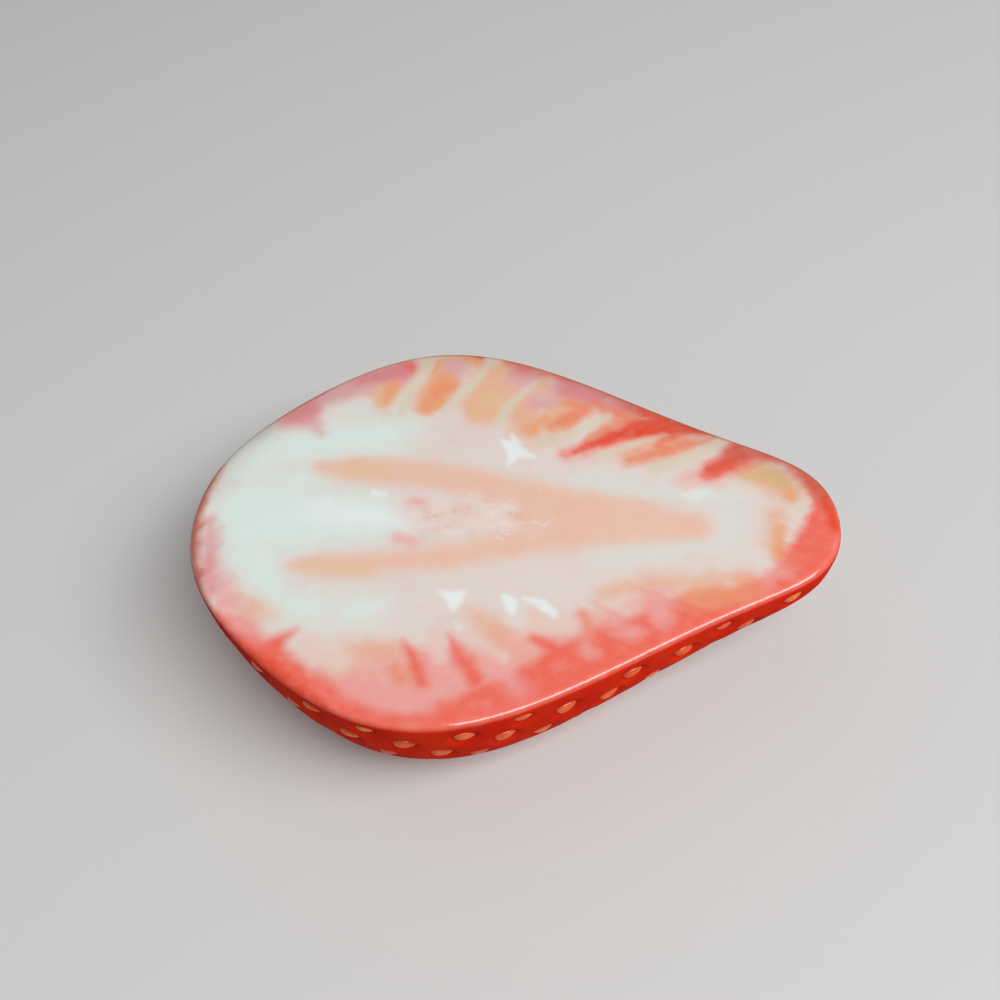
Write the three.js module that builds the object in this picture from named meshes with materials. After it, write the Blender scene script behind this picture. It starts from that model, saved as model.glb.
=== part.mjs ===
// Half of a strawberry, cut lengthwise through its middle and without its leaves.
//
// The half lies on its skin with the cut face up and level. It is one solid: the flat cut face,
// the rounded edge of the cut, and the domed skin with an oval dimple round each seed, raised
// and sunk by a formula on one surface.
//
// Millimetres, +Z up, +X from the stem end to the tip. The origin is on the surface that the
// half rests on, under the middle of its length.

import * as THREE from 'three';

// The form of the half.
const LENGTH = 40; // from the stem end to the tip
const OUTLINE = [29.8, 22.9, 44.4, 22.3, 27.1, 9.5, 22.6]; // half-width control values
const DEPTH_SHARE = 0.65; // how deep the half is behind its cut face, as a share of its half-width
const DEPTH_SHARE_TIP = 0.14; // added towards the tip, where the section is rounder
const DEPTH_SHARE_STEM = 0.09; // added at the stem end
const STEM_FADE = 12; // how quickly that fades along the length, as a power
const SECTION_POWER = 0.72; // 1 would make each section a half ellipse, less makes it fuller
const EDGE_RADIUS = 0.45; // the rounded edge of the cut
const FLAT_CUT = 0.35; // the deepest skin that is flattened where the half rests

// The seeds, which follow one spiral round the whole fruit. This half keeps its own share.
const SEEDS_ON_WHOLE = 439;
const SEED_TURN = 0.27644; // turns of the spiral from one seed to the next
const SEED_START = 0.0916; // turns to the first seed
const SEED_HALF_LENGTH = 0.68;
const SEED_HALF_WIDTH = 0.43;
const SEED_FLOOR = -0.34; // where the seed's own oval would end, under the skin
const SEED_HEIGHT = 0.36; // the seed's top over that
const SEED_TILT = 0.2; // most that a seed turns from the line to the tip, in radians
const SEED_WANDER = 0.15; // most that a seed is off its place on the spiral
const DIMPLE_HALF_LENGTH = 1.05;
const DIMPLE_HALF_WIDTH = 0.85;
const DIMPLE_DEPTH = 0.38;
const REST_CLEARANCE = 0.12; // seeds nearer to the surface below than this are left out

// How finely the surface is cut into triangles.
const STATIONS = 300; // places along the length where the form is measured
const SECTION_STEPS = 96; // steps round a section where its length is measured
const EDGE_STEP = 1.0; // spacing of points along the edge of the cut
const EDGE_ROWS = 2; // rows of faces round the rounded edge
const FILL_STEP = 1.3; // spacing of the points on plain skin
const FILL_CLEARANCE = 1.4; // they keep this many dimple sizes from every seed
const RINGS = [
  { halfLength: SEED_HALF_LENGTH * 0.62, halfWidth: SEED_HALF_WIDTH * 0.62, points: 6 },
  { halfLength: SEED_HALF_LENGTH * 1.04, halfWidth: SEED_HALF_WIDTH * 1.04, points: 7 },
  { halfLength: DIMPLE_HALF_LENGTH, halfWidth: DIMPLE_HALF_WIDTH, points: 7 },
];
const NEARBY = 0.2; // the skin's directions are read over this distance
const SMALLEST_RADIUS = 0.3; // the ends' radius on the map is taken as this at least
const NUDGE = 0.0005; // in the map's own units, as FAR is
const FAR = 1000;

const RANDOM_START = 7;

// A seeded source of even random numbers from 0 to 1.
function randomSource(start) {
  let state = start;
  return () => {
    state = (state * 16807) % 2147483647;
    return state / 2147483647;
  };
}

// Reads one measure of a table against another by straight-line steps. The rows rise in `from`.
function lookUp(table, from, to, value) {
  let low = 0;
  let high = table.length - 1;
  while (high - low > 1) {
    const middle = (low + high) >> 1;
    if (table[middle][from] > value) high = middle;
    else low = middle;
  }
  const span = table[high][from] - table[low][from];
  const share = THREE.MathUtils.clamp((value - table[low][from]) / span, 0, 1);
  return THREE.MathUtils.lerp(table[low][to], table[high][to], share);
}

// Half the width of the cut face at t, from 0 at the stem end to 1 at the tip. The square root
// rounds both ends, and the control values bend what is between them.
function halfWidth(t) {
  const degree = OUTLINE.length - 1;
  let sum = 0;
  let binomial = 1;
  OUTLINE.forEach((value, i) => {
    sum += value * binomial * t ** i * (1 - t) ** (degree - i);
    binomial *= (degree - i) / (i + 1);
  });
  return sum * Math.sqrt(Math.max(t * (1 - t), 0));
}

// How deep the half is behind its cut face at t.
function depth(t) {
  const share = DEPTH_SHARE + DEPTH_SHARE_TIP * t * t + DEPTH_SHARE_STEM * (1 - t) ** STEM_FADE;
  return share * halfWidth(t);
}

// A point of the skin's section at t, at an angle from 0 at the front edge to PI at the back
// one. The section ends under the rounded edge. Z is measured from the cut face.
function sectionPoint(t, angle) {
  const side = Math.cos(angle);
  const across = -Math.sign(side) * Math.abs(side) ** SECTION_POWER * halfWidth(t);
  const under = Math.max(Math.sin(angle), 0) ** SECTION_POWER;
  const drop = Math.max(depth(t) - EDGE_RADIUS, 0) * under;
  return new THREE.Vector3(LENGTH * (t - 0.5), across, -EDGE_RADIUS - drop);
}

// The section at t as points, each with its distance round the section from the front edge.
function sectionLine(t) {
  const line = [];
  let length = 0;
  for (let i = 0; i <= SECTION_STEPS; i++) {
    const point = sectionPoint(t, (Math.PI * i) / SECTION_STEPS);
    if (i > 0) length += point.distanceTo(line[i - 1].point);
    line.push({ point, length });
  }
  return line;
}

// Measures of the form along its length: the radius of a half circle as long as the section, the
// length of the skin's middle line and of the cut's edge up to there, the area of the skin up to
// there, and how far ahead it is on the map of the skin below.
function measureForm() {
  const table = [];
  const sum = { middle: 0, edge: 0, area: 0, ahead: 0 };
  let before = null;
  for (let i = 0; i <= STATIONS; i++) {
    const t = (1 - Math.cos((Math.PI * i) / STATIONS)) / 2;
    const line = sectionLine(t);
    const radius = line[SECTION_STEPS].length / Math.PI;
    if (before) {
      const half = SECTION_STEPS / 2;
      const step = line[half].point.distanceTo(before.line[half].point);
      sum.middle += step;
      sum.edge += line[0].point.distanceTo(before.line[0].point);
      sum.ahead += (step * 2) / (radius + before.radius);
      for (let j = 0; j < SECTION_STEPS; j++) {
        const forward = line[j].point.clone().sub(before.line[j].point);
        const aside = before.line[j + 1].point.clone().sub(before.line[j].point);
        const alsoAside = line[j + 1].point.clone().sub(line[j].point);
        sum.area += forward.cross(aside.add(alsoAside)).length() / 2;
      }
    }
    table.push({ t, radius, ...sum });
    before = { line, radius };
  }
  return table;
}

const FORM = measureForm();
const WHOLE = FORM[STATIONS];
const DEEPEST = Math.max(...FORM.map((row) => depth(row.t)));
const FACE_HEIGHT = DEEPEST - FLAT_CUT;
const EDGE_TURN = Math.PI / 2;

// The skin is laid out on a flat map on which small shapes keep their proportions. `ahead` goes
// up from the stem end to the tip, each small step of it a step on the skin over the radius
// there. `turn` is the angle round the section from its middle, below 0 in front.
function radiusAt(ahead) {
  return Math.max(lookUp(FORM, 'ahead', 'radius', ahead), SMALLEST_RADIUS);
}

function onSkin(ahead, turn) {
  const line = sectionLine(lookUp(FORM, 'ahead', 't', ahead));
  const girth = line[SECTION_STEPS].length;
  const wanted = THREE.MathUtils.clamp((turn / Math.PI + 0.5) * girth, 0, girth);
  let i = 1;
  while (i < SECTION_STEPS && line[i].length < wanted) i++;
  const step = line[i].length - line[i - 1].length;
  const share = step > 0 ? (wanted - line[i - 1].length) / step : 0;
  const point = line[i - 1].point.clone().lerp(line[i].point, share);
  point.z += FACE_HEIGHT;
  return point;
}

// The skin's own directions at a place on the map: towards the tip, round the section, and out.
// `stretch` is how long one unit of `ahead` is there, in millimetres.
function directions(ahead, turn) {
  const step = NEARBY / radiusAt(ahead);
  const lengthwise = onSkin(ahead + step, turn).sub(onSkin(ahead - step, turn));
  const stretch = lengthwise.length() / (2 * step);
  lengthwise.normalize();
  const round = onSkin(ahead, turn + step).sub(onSkin(ahead, turn - step)).normalize();
  const out = new THREE.Vector3().crossVectors(round, lengthwise).normalize();
  return { lengthwise, round, out, stretch };
}

// The seeds of this half, each with its middle on the skin and the directions of its oval. A
// seed is left out where its dimple would reach the edge of the cut, an end or the flat spot.
function placeSeeds() {
  const random = randomSource(RANDOM_START);
  const even = (most) => (random() * 2 - 1) * most;
  const seeds = [];
  for (let i = 0; i < SEEDS_ON_WHOLE; i++) {
    const place = (i * SEED_TURN + SEED_START) % 1;
    const [lengthwiseShift, roundShift, tilt] = [SEED_WANDER, SEED_WANDER, SEED_TILT].map(even);
    const area = ((i + 0.5) / SEEDS_ON_WHOLE) * WHOLE.area;
    const middle = lookUp(FORM, 'area', 'middle', area);
    if (place > 0.5 || Math.min(middle, WHOLE.middle - middle) < DIMPLE_HALF_LENGTH) continue;
    const radius = radiusAt(lookUp(FORM, 'area', 'ahead', area));
    const ahead = lookUp(FORM, 'area', 'ahead', area) + lengthwiseShift / radius;
    const turn = (place * 2 - 0.5) * Math.PI + roundShift / radius;
    if ((EDGE_TURN - Math.abs(turn)) * radius < DIMPLE_HALF_WIDTH) continue;
    const onIt = onSkin(ahead, turn);
    if (onIt.z < REST_CLEARANCE) continue;
    const { lengthwise, round, stretch } = directions(ahead, turn);
    const [cos, sin] = [Math.cos(tilt), Math.sin(tilt)];
    const long = lengthwise.clone().multiplyScalar(cos).addScaledVector(round, -sin);
    const wide = lengthwise.clone().multiplyScalar(sin).addScaledVector(round, cos);
    seeds.push({ ahead, turn, cos, sin, stretch, radius, long, wide, middle: onIt });
  }
  return seeds;
}

const SEEDS = placeSeeds();

// How far the skin stands out at an offset from a seed's middle: its dimple, and the seed in it.
function relief(long, wide) {
  const inDimple = Math.hypot(long / DIMPLE_HALF_LENGTH, wide / DIMPLE_HALF_WIDTH);
  const dimple = -DIMPLE_DEPTH * Math.max(1 - inDimple * inDimple, 0);
  const inSeed = Math.hypot(long / SEED_HALF_LENGTH, wide / SEED_HALF_WIDTH);
  if (inSeed >= 1) return dimple;
  return Math.max(dimple, SEED_FLOOR + SEED_HEIGHT * Math.sqrt(1 - inSeed * inSeed));
}

// The offset of a point from a seed's middle, along the seed and across it.
function seedOffset(point, seed) {
  const offset = point.clone().sub(seed.middle);
  return [offset.dot(seed.long), offset.dot(seed.wide)];
}

// A place on the map raised or sunk by the seeds near it, and flat where the half rests.
function finishedSkin({ ahead, turn }) {
  const point = onSkin(ahead, turn);
  if (point.z <= 0) return point.setZ(0);
  const near = SEEDS.filter((seed) => seed.middle.distanceTo(point) < DIMPLE_HALF_LENGTH * 1.5);
  const height = near.reduce((sum, seed) => sum + relief(...seedOffset(point, seed)), 0);
  if (height !== 0) point.addScaledVector(directions(ahead, turn).out, height);
  return point.setZ(Math.max(point.z, 0));
}

// Places on the edge of the cut, in front from the stem end to the tip and back behind.
function edgePlaces() {
  const count = Math.round(WHOLE.edge / EDGE_STEP);
  const front = [];
  const back = [];
  for (let i = 1; i < count; i++) {
    const ahead = lookUp(FORM, 'edge', 'ahead', (i / count) * WHOLE.edge);
    front.push({ ahead, turn: -EDGE_TURN });
    back.unshift({ ahead, turn: EDGE_TURN });
  }
  return [{ ahead: 0, turn: 0 }, ...front, { ahead: WHOLE.ahead, turn: 0 }, ...back];
}

// Places on the rings of one seed. Each ring is turned half a step from the last.
function seedPlaces(seed) {
  const places = [{ ahead: seed.ahead, turn: seed.turn }];
  RINGS.forEach((ring, order) => {
    for (let i = 0; i < ring.points; i++) {
      const angle = ((i + order / 2) / ring.points) * Math.PI * 2;
      const long = ring.halfLength * Math.cos(angle);
      const wide = ring.halfWidth * Math.sin(angle);
      places.push({
        ahead: seed.ahead + (long * seed.cos + wide * seed.sin) / seed.stretch,
        turn: seed.turn + (wide * seed.cos - long * seed.sin) / seed.radius,
      });
    }
  });
  return places;
}

// Places on the plain skin between the seeds, in a net of even triangles.
function fillPlaces() {
  const places = [];
  const rowStep = FILL_STEP * Math.sqrt(0.75);
  for (let row = 1; row * rowStep < WHOLE.middle; row++) {
    const ahead = lookUp(FORM, 'middle', 'ahead', row * rowStep);
    const radius = radiusAt(ahead);
    const reach = Math.ceil((EDGE_TURN * radius) / FILL_STEP);
    for (let i = -reach; i <= reach; i++) {
      const turn = ((i + (row % 2) / 2) * FILL_STEP) / radius;
      const point = onSkin(ahead, turn);
      const clear = SEEDS.every((seed) => {
        const [long, wide] = seedOffset(point, seed);
        const sizes = Math.hypot(long / DIMPLE_HALF_LENGTH, wide / DIMPLE_HALF_WIDTH);
        return sizes > FILL_CLEARANCE || point.distanceTo(seed.middle) > FILL_STEP * 2;
      });
      if (clear) places.push({ ahead, turn });
    }
  }
  return places;
}

// True for a place that is clear of the edge of the cut.
function insideEdge({ ahead, turn }) {
  const middle = lookUp(FORM, 'ahead', 'middle', ahead);
  const toEnd = Math.min(middle, WHOLE.middle - middle);
  const toSide = (EDGE_TURN - Math.abs(turn)) * radiusAt(ahead);
  return Math.min(toEnd, toSide) > EDGE_STEP / 2;
}

// Joins the places on the map into triangles, with no place inside a triangle's own circle. They
// are put in one by one: each time the triangles whose circles hold the new place are taken out,
// and the gap is filled round it. A slight nudge keeps four places from sharing one circle.
function triangulate(places) {
  const random = randomSource(RANDOM_START);
  const nudged = () => (random() - 0.5) * NUDGE;
  const points = places.map(({ ahead, turn }) => ({ x: ahead + nudged(), y: turn + nudged() }));
  const count = points.length;
  points.push({ x: -FAR, y: -FAR }, { x: FAR, y: -FAR }, { x: 0, y: FAR });
  const withCircle = (a, b, c) => {
    const [ax, ay] = [points[b].x - points[a].x, points[b].y - points[a].y];
    const [bx, by] = [points[c].x - points[a].x, points[c].y - points[a].y];
    const scale = 1 / (2 * (ax * by - ay * bx));
    const [aa, bb] = [ax * ax + ay * ay, bx * bx + by * by];
    const x = (by * aa - ay * bb) * scale;
    const y = (ax * bb - bx * aa) * scale;
    return { corners: [a, b, c], x: points[a].x + x, y: points[a].y + y, square: x * x + y * y };
  };
  let triangles = [withCircle(count, count + 1, count + 2)];
  for (let i = 0; i < count; i++) {
    const { x, y } = points[i];
    const rim = new Map();
    const kept = [];
    for (const triangle of triangles) {
      if ((triangle.x - x) ** 2 + (triangle.y - y) ** 2 >= triangle.square) {
        kept.push(triangle);
        continue;
      }
      triangle.corners.forEach((a, corner) => {
        const b = triangle.corners[(corner + 1) % 3];
        const other = b * points.length + a;
        if (rim.has(other)) rim.delete(other);
        else rim.set(a * points.length + b, [a, b]);
      });
    }
    triangles = kept;
    for (const [a, b] of rim.values()) triangles.push(withCircle(a, b, i));
  }
  return triangles.map(({ corners }) => corners).filter((corners) => Math.max(...corners) < count);
}

// Builds the half as one closed surface.
function makeHalf() {
  const edge = edgePlaces();
  const inner = [...SEEDS.flatMap(seedPlaces), ...fillPlaces()].filter(insideEdge);
  const places = [...edge, ...inner];
  const vertices = places.map(finishedSkin);
  const faces = [];

  // The skin. The map is seen from inside the half, so each triangle is turned over. One with
  // all its corners on the same side of the cut lies along its edge and is no part of the skin.
  for (const [a, b, c] of triangulate(places)) {
    const turns = [a, b, c].map((corner) => places[corner].turn);
    if (Math.min(...turns) === EDGE_TURN || Math.max(...turns) === -EDGE_TURN) continue;
    faces.push([a, c, b]);
  }

  // The rounded edge, one row of points after another, up to the cut face.
  const count = edge.length;
  const outwards = edge.map((_, i) => {
    const before = vertices[(i + count - 1) % count];
    const after = vertices[(i + 1) % count];
    return new THREE.Vector3(after.y - before.y, before.x - after.x, 0).normalize();
  });
  let lower = edge.map((_, i) => i);
  for (let row = 1; row <= EDGE_ROWS; row++) {
    const angle = (row / EDGE_ROWS) * (Math.PI / 2);
    const upper = outwards.map((out, i) => {
      const point = vertices[i].clone();
      point.addScaledVector(out, -EDGE_RADIUS * (1 - Math.cos(angle)));
      point.z = FACE_HEIGHT - EDGE_RADIUS * (1 - Math.sin(angle));
      return vertices.push(point) - 1;
    });
    for (let i = 0; i < count; i++) {
      const next = (i + 1) % count;
      faces.push([lower[i], lower[next], upper[next]], [lower[i], upper[next], upper[i]]);
    }
    lower = upper;
  }

  // The cut face.
  const contour = lower.map((i) => new THREE.Vector2(vertices[i].x, vertices[i].y));
  for (const corners of THREE.ShapeUtils.triangulateShape(contour, [])) {
    faces.push(corners.map((corner) => lower[corner]));
  }

  const geometry = new THREE.BufferGeometry();
  geometry.setFromPoints(vertices);
  geometry.setIndex(faces.flat());
  geometry.computeVertexNormals();
  return geometry;
}

const flesh = new THREE.MeshStandardMaterial({ color: '#d4361c', roughness: 0.35, metalness: 0 });

const half = new THREE.Mesh(makeHalf(), flesh);
half.name = 'strawberry_half';

const strawberry = new THREE.Group();
strawberry.add(half);

export default strawberry;
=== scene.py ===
# %% [markdown]
# # Half of a strawberry
# A ripe strawberry was cut lengthwise and its leaves were taken off. The half lies on its skin,
# with the wet cut face up. What makes it look real is where its colours lie: a milky core, two
# peach bands of pith round it, pale flesh with rays of vessels, and coral flesh at the skin.
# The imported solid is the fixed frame, so every piece here is made in its own coordinates.

import math

import bmesh
import bpy
import numpy as np
from mathutils import Matrix, Vector


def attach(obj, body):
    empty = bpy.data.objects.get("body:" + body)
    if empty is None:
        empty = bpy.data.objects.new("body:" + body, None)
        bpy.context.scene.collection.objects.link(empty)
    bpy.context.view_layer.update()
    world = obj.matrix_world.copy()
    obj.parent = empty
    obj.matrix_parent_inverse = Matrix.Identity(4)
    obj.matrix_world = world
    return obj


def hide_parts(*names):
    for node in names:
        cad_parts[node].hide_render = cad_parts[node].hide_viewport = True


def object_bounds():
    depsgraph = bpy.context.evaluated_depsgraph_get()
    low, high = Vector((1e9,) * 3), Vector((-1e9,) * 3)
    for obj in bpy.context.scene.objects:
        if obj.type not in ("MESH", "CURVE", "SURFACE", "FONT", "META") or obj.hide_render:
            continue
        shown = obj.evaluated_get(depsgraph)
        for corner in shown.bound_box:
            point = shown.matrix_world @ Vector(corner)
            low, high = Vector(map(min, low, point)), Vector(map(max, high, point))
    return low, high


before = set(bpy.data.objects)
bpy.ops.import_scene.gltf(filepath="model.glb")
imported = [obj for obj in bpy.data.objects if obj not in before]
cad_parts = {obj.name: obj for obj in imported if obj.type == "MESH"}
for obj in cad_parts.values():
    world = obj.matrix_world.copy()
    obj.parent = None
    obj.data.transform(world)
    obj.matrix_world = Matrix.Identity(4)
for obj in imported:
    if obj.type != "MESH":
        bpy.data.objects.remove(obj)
cad_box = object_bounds()
MM = 0.001
LENGTH = (cad_box[1].x - cad_box[0].x) / MM
FACE_HEIGHT = cad_box[1].z / MM
print(f"the half is {LENGTH:.1f} mm long and its cut face is {FACE_HEIGHT:.2f} mm up")

# %% [markdown]
# ## The camera
# The photograph looks down on the cut face from in front. A camera could be turned by hand until
# the picture fits, but here its place and aim were worked out from the outline of the cut face,
# which is flat and symmetric, so that its two halves give the perspective away.

# %% Camera
CAMERA_PLACE = (4.1, -41.8, 62.7)  # millimetres
CAMERA_FORWARD = (-0.0700, 0.6277, -0.7753)
CAMERA_ROLL = math.radians(-4.65)
FOCAL_LENGTH = 39.6  # for a sensor 36 mm wide

camera = bpy.data.objects.new("camera", bpy.data.cameras.new("camera"))
camera.data.lens = FOCAL_LENGTH
camera.data.sensor_width = 36
camera.data.clip_start = 0.001
camera.location = Vector(CAMERA_PLACE) * MM
aim = Vector(CAMERA_FORWARD).to_track_quat("-Z", "Y").to_matrix()
camera.rotation_euler = (aim @ Matrix.Rotation(CAMERA_ROLL, 3, "Z")).to_euler()
bpy.context.scene.collection.objects.link(camera)
bpy.context.scene.camera = camera
print("the camera's right is", [round(x, 4) for x in camera.rotation_euler.to_matrix().col[0]])

# %% [markdown]
# ## The form
# The skin of the half is a dome under the outline of the cut. It could be sculpted, or carved
# from a ball. Here a formula gives it, the same one as in the part's source: half-width and depth
# along the length, and a section a little fuller than half an ellipse.

# %% The outline, the depth and the sections
OUTLINE = (29.8, 22.9, 44.4, 22.3, 27.1, 9.5, 22.6)  # half-width control values
DEPTH_SHARE = 0.65  # depth behind the cut face as a share of the half-width
DEPTH_SHARE_TIP = 0.14
DEPTH_SHARE_STEM = 0.09
STEM_FADE = 12
SECTION_POWER = 0.72  # 1 would be half an ellipse
EDGE_RADIUS = 0.45  # the rounded edge of the cut
STATIONS = 300  # places along the length where the form is measured
SECTION_STEPS = 96  # steps round a section where its length is measured


def half_width(t):
    """Half the width of the cut face, for t from 0 at the stem end to 1 at the tip."""
    degree = len(OUTLINE) - 1
    bent = sum(v * math.comb(degree, i) * t**i * (1 - t) ** (degree - i) for i, v in enumerate(OUTLINE))
    return bent * np.sqrt(np.clip(t * (1 - t), 0, 1))


def depth(t):
    """How deep the half is behind its cut face."""
    share = DEPTH_SHARE + DEPTH_SHARE_TIP * t * t + DEPTH_SHARE_STEM * (1 - t) ** STEM_FADE
    return share * half_width(t)


def sections(t):
    """The skin's sections at each t, as points from the front edge of the cut to the back one."""
    angle = np.linspace(0, math.pi, SECTION_STEPS + 1)
    side, under = np.cos(angle), np.clip(np.sin(angle), 0, 1) ** SECTION_POWER
    across = -np.sign(side) * np.abs(side) ** SECTION_POWER * half_width(t)[:, None]
    drop = np.maximum(depth(t) - EDGE_RADIUS, 0)[:, None] * under
    along = np.broadcast_to(LENGTH * (t - 0.5)[:, None], across.shape)
    return np.stack([along, across, FACE_HEIGHT - EDGE_RADIUS - drop], axis=2)


def running(steps, axis=0):
    """The sums of the steps so far, from 0."""
    return np.insert(np.cumsum(steps, axis=axis), 0, 0, axis=axis)


station = (1 - np.cos(np.linspace(0, math.pi, STATIONS + 1))) / 2
net = sections(station)
radius = np.linalg.norm(np.diff(net, axis=1), axis=2).sum(axis=1) / math.pi
middle_steps = np.linalg.norm(np.diff(net[:, SECTION_STEPS // 2], axis=0), axis=1)
forward = net[1:, :-1] - net[:-1, :-1]
aside = np.diff(net, axis=1)
strips = np.linalg.norm(np.cross(forward, aside[1:] + aside[:-1]), axis=2).sum(axis=1) / 2
middle = running(middle_steps)
area = running(strips)
ahead_of = running(middle_steps * 2 / (radius[1:] + radius[:-1]))
print(f"the skin is {area[-1]:.0f} square millimetres and {middle[-1]:.1f} mm along its middle")

# %% [markdown]
# ## A map of the skin
# Seeds have to lie on the dome without being stretched. Wrapping a picture of them round it would
# squeeze them at both ends. So the dome is laid out on a map like a sailor's chart, on which
# small shapes keep their proportions: ahead to the tip, and turned round the section.

# %% Places on the skin and the directions there
NEARBY = 0.2  # the skin's directions are read over this distance
SMALLEST_RADIUS = 0.3  # the ends' radius on the map is taken as this at least
EDGE_TURN = math.pi / 2
CHUNK = 4000  # places that are worked out at a time, to save memory
TINY = 1e-9  # keeps a division from going by zero


def radius_at(ahead):
    return np.maximum(np.interp(ahead, ahead_of, radius), SMALLEST_RADIUS)


def on_skin(ahead, turn):
    """Points of the skin, in millimetres, for places on its map."""
    found = []
    for start in range(0, len(ahead), CHUNK):
        line = sections(np.interp(ahead[start:start + CHUNK], ahead_of, station))
        girth = running(np.linalg.norm(np.diff(line, axis=1), axis=2), axis=1)
        wanted = np.clip(turn[start:start + CHUNK] / math.pi + 0.5, 0, 1) * girth[:, -1]
        step = np.clip((girth < wanted[:, None]).sum(axis=1), 1, SECTION_STEPS)
        row = np.arange(len(line))
        length = np.maximum(girth[row, step] - girth[row, step - 1], TINY)
        share = ((wanted - girth[row, step - 1]) / length)[:, None]
        found.append(line[row, step - 1] * (1 - share) + line[row, step] * share)
    return np.concatenate(found)


def unit(vectors):
    return vectors / np.maximum(np.linalg.norm(vectors, axis=1), TINY)[:, None]


def directions(ahead, turn):
    """The skin's own directions there: towards the tip, round the section, and out."""
    step = NEARBY / radius_at(ahead)
    lengthwise = unit(on_skin(ahead + step, turn) - on_skin(ahead - step, turn))
    around = unit(on_skin(ahead, turn + step) - on_skin(ahead, turn - step))
    return lengthwise, around, unit(np.cross(around, lengthwise))


# %% [markdown]
# ## The seeds' places
# What looks like a seed is a small dry fruit, and all of them follow one spiral round the berry,
# each a fixed turn on from the last. They could be scattered at random, but a berry shows rows
# that cross, so the spiral is used, with a slight wander and tilt drawn from a seeded source.

# %% The spiral
SEEDS_ON_WHOLE = 439
SEED_TURN = 0.27644  # turns of the spiral from one seed to the next
SEED_START = 0.0916
SEED_TILT = 0.2  # most that a seed turns from the line to the tip, in radians
SEED_WANDER = 0.15  # most that a seed is off its place on the spiral
SEED_HALF_LENGTH = 0.68
SEED_HALF_WIDTH = 0.43
SEED_FLOOR = -0.34  # where the middle of the seed's oval lies, under the skin
SEED_HEIGHT = 0.36  # the seed's top over that
DIMPLE_HALF_LENGTH = 1.05
DIMPLE_HALF_WIDTH = 0.85
DIMPLE_DEPTH = 0.38
REST_CLEARANCE = 0.12  # seeds nearer to the floor than this are left out
RANDOM_START = 7
RANDOM_STEP = 16807
RANDOM_PERIOD = 2147483647


def random_source(start):
    """The part's own source of even random numbers from 0 to 1."""
    state = start
    while True:
        state = state * RANDOM_STEP % RANDOM_PERIOD
        yield state / RANDOM_PERIOD


def place_seeds():
    """The seeds of this half: middle, directions along, across and out, one row each."""
    random = random_source(RANDOM_START)
    places = []
    for i in range(SEEDS_ON_WHOLE):
        place = (i * SEED_TURN + SEED_START) % 1
        draws = [(next(random) * 2 - 1) * most for most in (SEED_WANDER, SEED_WANDER, SEED_TILT)]
        area_here = (i + 0.5) / SEEDS_ON_WHOLE * area[-1]
        middle_here = np.interp(area_here, area, middle)
        if place > 0.5 or min(middle_here, middle[-1] - middle_here) < DIMPLE_HALF_LENGTH:
            continue
        ahead = np.interp(area_here, area, ahead_of)
        here = radius_at(ahead)
        turn = (place * 2 - 0.5) * math.pi + draws[1] / here
        if (EDGE_TURN - abs(turn)) * here < SEED_HALF_WIDTH:
            continue
        places.append((ahead + draws[0] / here, turn, draws[2]))
    ahead, turn, tilt = np.array(places).T
    points = on_skin(ahead, turn)
    along, around, out = directions(ahead, turn)
    cos, sin = np.cos(tilt)[:, None], np.sin(tilt)[:, None]
    kept = points[:, 2] > REST_CLEARANCE
    return [part[kept] for part in (points, along * cos - around * sin, along * sin + around * cos, out)]


seed_middle, seed_long, seed_wide, seed_out = place_seeds()
print(len(seed_middle), "seeds on this half")

# %% [markdown]
# ## The flesh
# The half is one body of flesh. It could be a subdivided box, but the dome needs even faces for
# some two hundred dimples. So a flat net is wrapped round the dome by the map of the skin, with
# two of its sides drawn together at the ends. Dimples are sunk into it by a formula.

# %% The dome
ROWS_ALONG = 240
ROWS_ROUND = 192
SAME = 1e-5  # points closer than this are one point
RIM_FADE = 1.2  # how far below the edge the dimples have their full depth
REACH = 1.5  # a dimple is looked for within so many of its half-lengths


def relief(points):
    """How deep the skin is sunk by the dimples at each point."""
    height = np.zeros(len(points))
    for middle_point, long, wide in zip(seed_middle, seed_long, seed_wide):
        offset = points - middle_point
        near = np.flatnonzero(np.linalg.norm(offset, axis=1) < DIMPLE_HALF_LENGTH * REACH)
        along, aside = offset[near] @ long, offset[near] @ wide
        size = np.hypot(along / DIMPLE_HALF_LENGTH, aside / DIMPLE_HALF_WIDTH)
        height[near] -= DIMPLE_DEPTH * np.clip(1 - size**2, 0, 1)
    return height


flesh = bmesh.new()
bmesh.ops.create_grid(flesh, x_segments=ROWS_ALONG, y_segments=ROWS_ROUND, size=0.5)
sheet = np.array([v.co for v in flesh.verts], dtype=float)
ahead = np.interp((sheet[:, 0] + 0.5) * middle[-1], middle, ahead_of)
turn = sheet[:, 1] * math.pi
skin = on_skin(ahead, turn)
to_cut = (FACE_HEIGHT - EDGE_RADIUS - skin[:, 2]) / RIM_FADE
sunk = relief(skin) * np.clip(to_cut, 0, 1)
dimpled = np.flatnonzero(sunk)
skin[dimpled] += directions(ahead[dimpled], turn[dimpled])[2] * sunk[dimpled, None]
skin[:, 2] = np.maximum(skin[:, 2], 0)
for vertex, place in zip(flesh.verts, skin):
    vertex.co = place
bmesh.ops.remove_doubles(flesh, verts=flesh.verts[:], dist=SAME)
print(len(flesh.faces), "faces on the dome,", len(dimpled), "points in dimples")

# %% [markdown]
# ## The edge and the face of the cut
# A knife leaves a soft edge, which catches the light as a thin line. A bevel would eat into the
# fine rows of the dome, so the open edge is extruded in small steps round a quarter circle. More
# rows are then extruded inwards until front and back meet on the middle line, and are merged.

# %% Edge and face
EDGE_STEPS = 5
FACE_ROWS = 84


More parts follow.
